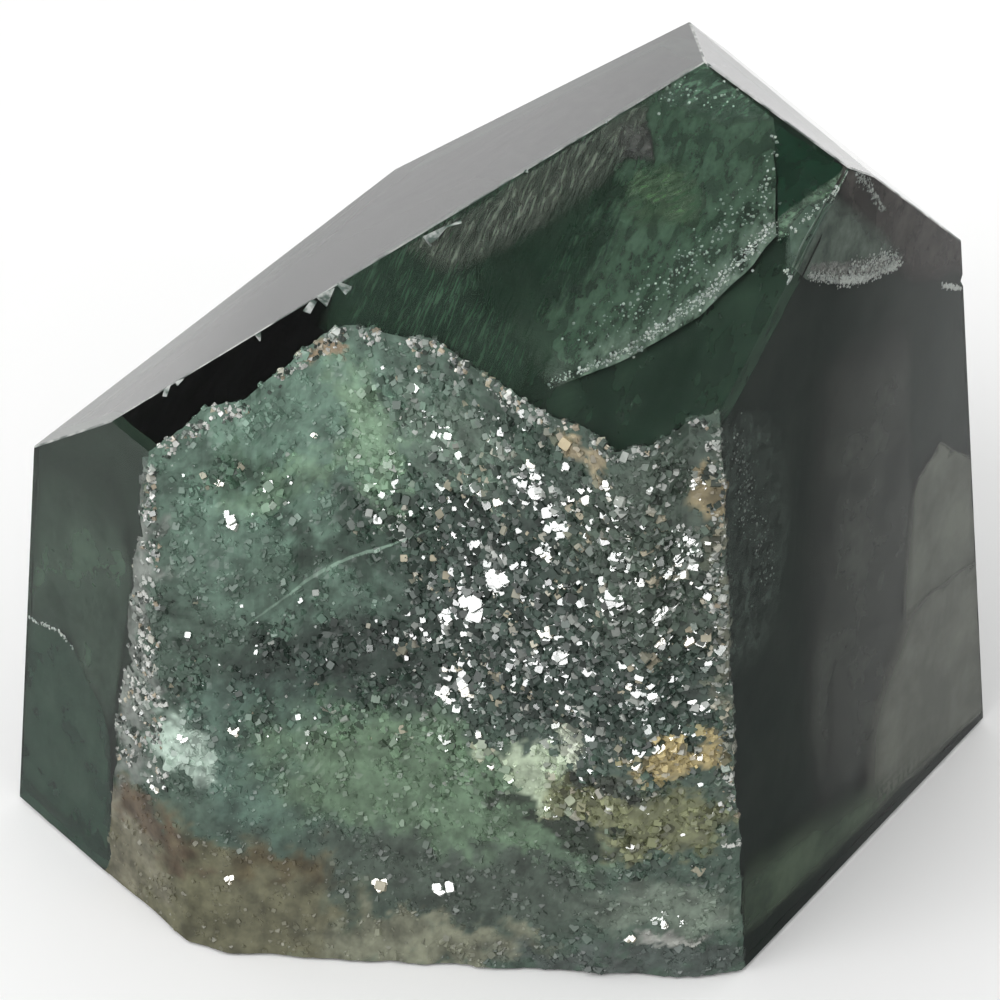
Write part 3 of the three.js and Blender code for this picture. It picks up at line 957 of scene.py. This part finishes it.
CLUSTERS = [  # groups in it that nearly all do, as x, z and radius
    (1.9, 34.0, 1.5), (2.9, 32.4, 1.0), (-0.6, 27.0, 0.9), (-2.4, 24.2, 1.2), (-3.0, 18.4, 1.4),
    (10.0, 31.0, 1.2), (10.4, 33.2, 0.9), (9.0, 28.4, 0.7), (2.3, 30.0, 0.8), (2.9, 24.0, 1.0),
    (-16.9, 27.2, 0.7), (6.3, 28.8, 0.8), (1.6, 22.4, 0.7), (8.9, 22.6, 0.8), (11.4, 21.1, 0.8),
    (9.8, 4.1, 1.0), (-22.0, 9.0, 0.6), (10.8, 36.9, 0.8), (6.6, 32.0, 0.7), (-5.2, 21.4, 0.7),
]
CLUSTER_SHARE = 0.9
CLUSTER_JITTER = 0.12
GLINTS = [  # the largest groups of cubes that face the light, as x, z and width
    (1.8, 33.6, 1.2), (1.4, 35.6, 0.7), (3.6, 34.1, 1.0), (2.8, 32.3, 0.8), (-0.5, 27.0, 1.2),
    (-2.2, 24.4, 1.3), (-3.7, 23.0, 0.8), (-2.5, 22.6, 0.7), (2.5, 24.7, 1.1), (3.4, 23.2, 0.9),
    (-2.5, 18.6, 1.1), (-3.8, 17.6, 0.9), (10.0, 30.7, 1.3), (10.8, 31.5, 1.0), (9.8, 32.2, 0.8),
    (10.7, 33.4, 0.7), (10.0, 34.3, 0.5), (8.9, 28.3, 0.9), (9.9, 29.4, 0.6), (2.3, 30.0, 0.9),
    (6.5, 32.1, 0.6), (7.7, 31.0, 0.7), (3.4, 28.5, 0.7), (1.6, 22.4, 0.6), (11.4, 21.1, 0.8),
    (-3.1, 28.3, 0.6), (-2.1, 30.7, 0.6), (6.4, 29.5, 0.6), (5.7, 28.0, 0.5), (9.0, 26.4, 0.6),
    (8.8, 21.8, 0.5), (10.8, 37.2, 0.5), (8.4, 38.7, 0.5), (7.1, 34.2, 0.5), (-16.8, 27.2, 0.9),
    (-17.4, 29.2, 0.5), (-11.6, 31.9, 0.4), (-16.7, 14.3, 0.7), (-17.2, 4.9, 0.6), (-7.9, 4.7, 0.9),
    (-3.9, 5.0, 0.9), (9.7, 4.1, 0.6), (7.6, 3.0, 0.6), (-21.9, 8.7, 0.5), (-20.0, 13.0, 0.6),
]
GLINT_CUBES = 5  # how many cubes a group has
GLINT_JITTER = 0.05
GLINT_SPREAD = 0.22  # how far apart they are, and how large, as shares of its width
GLINT_SIZES = (0.35, 0.65)
GLINT_HIGHLIGHT_TONE = 1.2  # painted highlight: how much lighter than the stone, and how pale, the cubes that face the light are coloured, on top of the light that they throw back
GLINT_HIGHLIGHT_PALE = (0.5, 1)
FROSTED_SHARE = 0.10  # share of the sparkling part's cubes that are frosted grey
LIVELY_FROST = 0.4  # so much of that where the skin is lively, and the rest where it sparkles
SPARKLE_FROST = 0.6
BRUISE = (0.25, 1)  # how pale frosted and bruised cubes are
SPARKLE_WAY = Vector((-0.298, -0.697, 0.652))  # the way that those cubes' upper faces look
LIVELY = [  # other parts with pale and dark cubes and a few flashes, placed as SPARKLE is
    (-15.6, 29.0, 4.0, 2.0), (-10.5, 17.4, 10.5, 4.2), (-3.6, 31.4, 3.2, 3.0), (9.0, 13.5, 6.0, 5.0),
]
LIVELY_SHARE = 0.06
FLASH_PATCH = 2.4  # size of the patches that the flashes come in, in mm
FLASH_LEVEL = 0.9  # how many there are, as a rule and more or less in patches,
FLASH_PATCHES = 3.4
FLASH_LIMITS = (0.12, 2.4)  # and at least and at most
CLEAR_FACE = 0.10  # roughness of the cubes' faces where they flash, and elsewhere
ETCHED_FACE = 0.55
CALM_SUNK = 0.20  # how much deeper the cubes of the calm parts lie
FROSTED = (0.44, 0.46, 0.43)
STAINED = (0.42, 0.38, 0.28)
STAIN_PATCH = 3  # size of the stained patches, in mm
STAIN_LIMITS = (-0.1, 0.25)  # the noise's values where a stain starts and where it is full
RIM_COLOURS = [(0.52, 0.53, 0.50), (0.36, 0.31, 0.23), (0.040, 0.055, 0.045), (0.16, 0.19, 0.17)]
RIM_SHARES = [0.36, 0.10, 0.34, 0.20]
RIM_TONES = (0.6, 1.2)
TONES = (0.28, 0.62)  # how far the cubes' tones stray from 1, in calm and in lively parts
RIM_WIDE = 0.55 * MM  # bruised grains along the polish are pale
RIM_GRAINS = 1700
RIM_SIZES = (0.09, 0.34)
RIM_SMALL = 1.8
RIM_BAND = 0.85 * MM
LEFT_RIM_SHARE = 0.45  # how wide all that is along the left side, as a share
LEFT_RIM_TOP = 31
BRUISED_SHARE = 0.28
RIM_LOWEST = 9  # the foot of the edge is smooth, up to here
RIM_FACE = 0.3  # roughness of its grains
RIM_PATCH = 1.1  # the rim's grains come in patches of this size in mm
RIM_BARE = -0.05  # and leave it bare where the noise is lower than this
PIECES = 5  # the crust is stored in this many meshes
chance = random.Random(11)

bpy.ops.object.select_all(action="DESELECT")
bpy.ops.mesh.primitive_cube_add(size=1)
cube = bpy.context.object
bpy.ops.object.mode_set(mode="EDIT")
bpy.ops.mesh.select_all(action="SELECT")
bpy.ops.mesh.bevel(offset=CRYSTAL_CORNER, segments=1, affect="VERTICES")
bpy.ops.object.mode_set(mode="OBJECT")
cube_points = [vert.co.copy() for vert in cube.data.vertices]
cube_faces = [tuple(face.vertices) for face in cube.data.polygons]
bpy.data.objects.remove(cube)

druse, nodes, links, shader = new_material("drusy_fluorite")
links.new(mottled_stone(nodes, links, 0.75, 1.25), shader.inputs["Base Color"])
links.new(stored(nodes, "roughness"), shader.inputs["Roughness"])
shader.inputs["IOR"].default_value = FLUORITE_IOR


def oval_share(x, z, oval):
    """1 well inside an oval of the skin and 0 well outside it, with a soft and wandering edge."""
    away = oval_away(x, z, *oval) + OVAL_WANDER * patchy(x, z, 50, OVAL_WAVE)
    return eased_step((OVAL_SOFT[0] - away) / (OVAL_SOFT[0] - OVAL_SOFT[1]))


def crust_at(x, z):
    """How thick the crust of crystals is at x and z, from 0 to 1: it comes and goes in patches."""
    patches = sum(share * patchy(x, z, layer, size) for share, layer, size in CRUST_WAVES)
    thick = CRUST_LEVEL + CRUST_PATCHES * patches + CRUST_SPARKLE * oval_share(x, z, SPARKLE)
    return min(max(thick, CRUST_LEAST), 1)


def rooms(middle):
    """How far a place lies under the nearest facet, and under the nearest one but the base."""
    room = [(distance - middle.dot(normal), normal.z > -0.9) for normal, distance in facets]
    return min(space for space, beside in room), min(space for space, beside in room if beside)


def at_rim(x, z, band):
    """Whether a place on the skin is in a band along the polish."""
    if x < 0 and z < LEFT_RIM_TOP:
        band *= LEFT_RIM_SHARE
    return z > RIM_LOWEST and 0 < rooms(Vector((x, skin_y(x, z), z)) * MM)[1] < band


def facing_light(jitter):
    """The way round of a crystal that throws the light back, give or take a jitter."""
    spin = Quaternion((0, 0, 1), chance.uniform(0, math.tau))
    lean = Euler([chance.gauss(0, jitter) for axis in range(3)]).to_quaternion()
    return (lean @ SPARKLE_WAY.to_track_quat("Z", "Y") @ spin).to_matrix()


def any_way():
    """The way round of a crystal that stands as it likes."""
    spin = Quaternion((0, 0, 1), chance.uniform(0, math.tau))
    lean = Euler([chance.uniform(-1, 1) for axis in range(3)]).to_quaternion()
    return (lean @ spin).to_matrix()


def crystal_turn(x, z, sparkling, lively):
    """The way round that a crystal of the crust stands, and the roughness of its faces."""
    flashes = FLASH_LEVEL + FLASH_PATCHES * patchy(x, z, 40, FLASH_PATCH)
    flashes = min(max(flashes, FLASH_LIMITS[0]), FLASH_LIMITS[1])
    if any(oval_away(x, z, cx, cz, radius, radius) < 1 for cx, cz, radius in CLUSTERS):
        together, jitter = CLUSTER_SHARE, CLUSTER_JITTER
    elif sparkling:
        together, jitter = SPARKLE_SHARE * flashes, SPARKLE_JITTER
    elif lively:
        together, jitter = LIVELY_SHARE * flashes, SPARKLE_JITTER
    else:
        return any_way(), ETCHED_FACE
    if chance.random() < together:
        return facing_light(jitter), CLEAR_FACE
    return any_way(), chance.choice((CLEAR_FACE, ETCHED_FACE))


def crystal_colour(x, z, tone, bruised):
    """A crystal's colour: the stone's there in a tone of its own, and paler as it is bruised."""
    stain, full = STAIN_LIMITS
    stained = eased_step((patchy(x, z, 30, STAIN_PATCH) - stain) / (full - stain))
    pale = Vector(FROSTED).lerp(Vector(STAINED), stained)
    return (stone_colour(x, z) * tone).lerp(pale, bruised)


def any_size(sizes, small):
    """A size between the least and the most, and the more often a small one, the higher small."""
    return sizes[0] + (sizes[1] - sizes[0]) * chance.random() ** small


grown = []  # each crystal's corners, its colour and its roughness


def grow(x, z, size, turn, colour, etching, sunk=0.0):
    """Grows one crystal on the skin, unless the wheel took it off. Its size is in mm, and it is
    sunk by a share of that."""
    y = skin_y(x, z) - relief(x, z) + (chance.uniform(*CRYSTAL_SUNK) + sunk) * size
    middle = Vector((x, y, z)) * MM
    if rooms(middle)[0] < UNDER_POLISH + SHOWN_LEAST * size * MM:
        return
    shape = Vector([chance.uniform(*CRYSTAL_SHAPES) for axis in range(3)])
    corners = [trimmed(middle + turn @ (point * shape) * size * MM) for point in cube_points]
    grown.append((corners, colour, etching))


SKIN_WIDE = (SKIN_RIM[0][0], 15.0)  # the skin's stretch of x, and of z, in mm
SKIN_TALL = (0.0, 44.0)
while len(grown) < CRYSTAL_COUNT:
    x, z = chance.uniform(*SKIN_WIDE), chance.uniform(*SKIN_TALL)
    crust = crust_at(x, z)
    rough = roughness_at(x, z)
    if chance.random() > crust * min(rough + CRUST_SMOOTH, 1):
        continue
    size = any_size(CRYSTAL_SIZES, CRYSTAL_SMALL) * (0.5 + 0.5 * crust * rough)
    sparkling = chance.random() < oval_share(x, z, SPARKLE)
    lively = sparkling or any(chance.random() < oval_share(x, z, oval) for oval in LIVELY)
    spread = TONES[1] if lively else TONES[0] * rough
    frosty = FROSTED_SHARE * (LIVELY_FROST * lively + SPARKLE_FROST * sparkling)
    frosted = chance.random() < frosty
    bruised = at_rim(x, z, RIM_WIDE) and chance.random() < BRUISED_SHARE
    pale = chance.uniform(*BRUISE) * (frosted or bruised)
    colour = crystal_colour(x, z, chance.uniform(1 - spread, 1 + spread), pale)
    turn, etching = crystal_turn(x, z, sparkling, lively)
    grow(x, z, size, turn, colour, etching, 0 if lively or pale else CALM_SUNK)

for x, z, width in GLINTS:
    for number in range(GLINT_CUBES):
        aside = [chance.gauss(0, GLINT_SPREAD) * width for axis in range(2)]
        size = width * chance.uniform(*GLINT_SIZES)
        # each cube of a glint is coloured lighter and paler than the stone there: a painted highlight
        colour = crystal_colour(x, z, GLINT_HIGHLIGHT_TONE, chance.uniform(*GLINT_HIGHLIGHT_PALE))
        grow(x + aside[0], z + aside[1], size, facing_light(GLINT_JITTER), colour, CLEAR_FACE)

rim_grains = 0
while rim_grains < RIM_GRAINS:
    x, z = chance.uniform(*SKIN_WIDE), chance.uniform(RIM_LOWEST, SKIN_TALL[1])
    if patchy(x, z, 8, RIM_PATCH) > RIM_BARE and at_rim(x, z, RIM_BAND):
        size = any_size(RIM_SIZES, RIM_SMALL)
        colour = Vector(chance.choices(RIM_COLOURS, RIM_SHARES)[0]) * chance.uniform(*RIM_TONES)
        grow(x, z, size, any_way(), colour, RIM_FACE)
        rim_grains += 1


flashing = bpy.data.collections.new("flashing")  # the pieces that answer to the glint lamp
glint_lamp.light_linking.receiver_collection = flashing


def grain_piece(name, material, grains):
    """One piece made of many small grains, each given as its corners, colour and roughness."""
    points, faces, tints, etchings = [], [], [], []
    for corners, colour, etching in grains:
        faces += [tuple(index + len(points) for index in face) for face in cube_faces]
        points += corners
        tints += [*colour, 1] * len(corners)
        etchings += [etching] * len(corners)
    mesh = bpy.data.meshes.new(name)
    mesh.from_pydata(points, [], faces)
    mesh.attributes.new("stone_colour", "FLOAT_COLOR", "POINT").data.foreach_set("color", tints)
    mesh.attributes.new("roughness", "FLOAT", "POINT").data.foreach_set("value", etchings)
    mesh.materials.append(material)
    piece = bpy.data.objects.new(name, mesh)
    bpy.context.scene.collection.objects.link(piece)
    flashing.objects.link(piece)
    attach(piece, "root")
    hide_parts("fluorite_point")
    return piece


grown.sort(key=lambda grain: grain[0][0].x)
for number in range(PIECES):
    start, end = (round(len(grown) * (number + step) / PIECES) for step in (0, 1))
    grain_piece(f"druse_{number + 1}", druse, grown[start:end])

# The edges of the healed cracks sparkle: they are lined with tiny fluorite crystals, which grew
# there as the cracks healed, inside the stone. The grains' pale colour is partly their own frost
# and partly a painted sparkle.
SEAMS = [  # facet, depth, x and z from, x and z to, spread, how many, and how pale, which is partly a painted sparkle; in mm
    (FRONT_SLOPE, 0.5, (2.6, 40.2), (8.0, 42.9), 0.20, 150, 0.4),
    (FRONT_SLOPE, 0.5, (8.0, 43.0), (12.4, 45.8), 0.26, 230, 0.45),
    (FRONT_SLOPE, 0.5, (12.2, 45.8), (15.6, 48.5), 0.28, 220, 0.5),
    (FRONT_SLOPE, 0.5, (5.0, 42.2), (11.0, 46.0), 0.80, 150, 0.25),
    (FRONT_SLOPE, 0.5, (10.0, 45.4), (15.0, 49.2), 0.75, 150, 0.25),
    (FRONT_SLOPE, 0.4, (9.0, 50.4), (14.8, 51.9), 0.50, 80, 0.35),
    (FRONT_SLOPE, 0.4, (15.0, 49.0), (15.7, 51.0), 0.22, 40, 0.5),
    (FRONT_SLOPE, 0.3, (15.8, 48.2), (20.2, 51.4), 0.14, 60, 0.5),
    (FRONT_SLOPE, 0.2, (15.9, 47.5), (16.9, 47.3), 0.12, 30, 0.6),
    (RIGHT_SIDE, 0.1, (17.4, 46.5), (19.4, 44.3), 0.15, 230, 0.8),
    (RIGHT_SIDE, 0.1, (19.4, 44.3), (20.9, 43.0), 0.16, 300, 0.95),
    (RIGHT_SIDE, 0.1, (20.9, 43.0), (23.4, 41.75), 0.17, 380, 0.95),
    (RIGHT_SIDE, 0.1, (20.0, 44.5), (23.2, 42.5), 0.30, 300, 0.8),
    (RIGHT_SIDE, 0.25, (20.2, 50.4), (21.2, 48.6), 0.20, 90, 0.5),
    (RIGHT_SIDE, 0.25, (21.1, 48.8), (22.1, 46.3), 0.13, 90, 0.7),
    (RIGHT_SIDE, 0.06, (26.6, 37.4), (27.9, 36.0), 0.09, 200, 1.0),
    (RIGHT_SIDE, 0.3, (12.9, 40.7), (13.9, 33.0), 0.50, 130, 0.3),
    (RIGHT_SIDE, 0.3, (13.6, 37.0), (15.4, 27.5), 0.60, 110, 0.3),
    (LEFT_SIDE, 0.3, (-30.4, 13.4), (-28.1, 14.2), 0.09, 60, 0.6),
    (LEFT_SIDE, 0.3, (-28.1, 14.2), (-27.2, 13.9), 0.07, 20, 0.6),
]
SEAM_SIZES = (0.04, 0.15)
SEAM_SMALL = 2
SEAM_FACE = 0.3
SEAM_DARK = (0.10, 0.14, 0.12)
# the pale end of the grains' colours is partly a painted sparkle
SEAM_PALE_AND_SPARKLE = (0.78, 0.82, 0.78)
SEAM_TONES = 0.22  # how far the grains of a seam differ in that

seam_frost_and_sparkle, nodes, links, shader = new_material("frosted_and_sparkling_seam")
links.new(mottled_stone(nodes, links, 0.85, 1.15), shader.inputs["Base Color"])
shader.inputs["Roughness"].default_value = SEAM_FACE

seam_grains = []
for facet, depth, start, end, spread, count, pale in SEAMS:
    for number in range(count):
        share = chance.random()
        x = start[0] + share * (end[0] - start[0])
        z = start[1] + share * (end[1] - start[1])
        drift = Vector([chance.gauss(0, spread) for axis in range(3)])
        middle = under(facet, depth, x, z) + (drift - facet[0] * drift.dot(facet[0])) * MM
        middle = trimmed(behind_skin(middle))
        size = any_size(SEAM_SIZES, SEAM_SMALL)
        turn = Euler([chance.uniform(0, math.tau) for axis in range(3)]).to_matrix()
        corners = [trimmed(middle + turn @ point * size * MM) for point in cube_points]
        share = min(max(chance.gauss(pale, SEAM_TONES), 0), 1)
        colour = Vector(SEAM_DARK).lerp(Vector(SEAM_PALE_AND_SPARKLE), share)
        seam_grains.append((corners, colour, SEAM_FACE))
grain_piece("seam_crystals", seam_frost_and_sparkle, seam_grains)
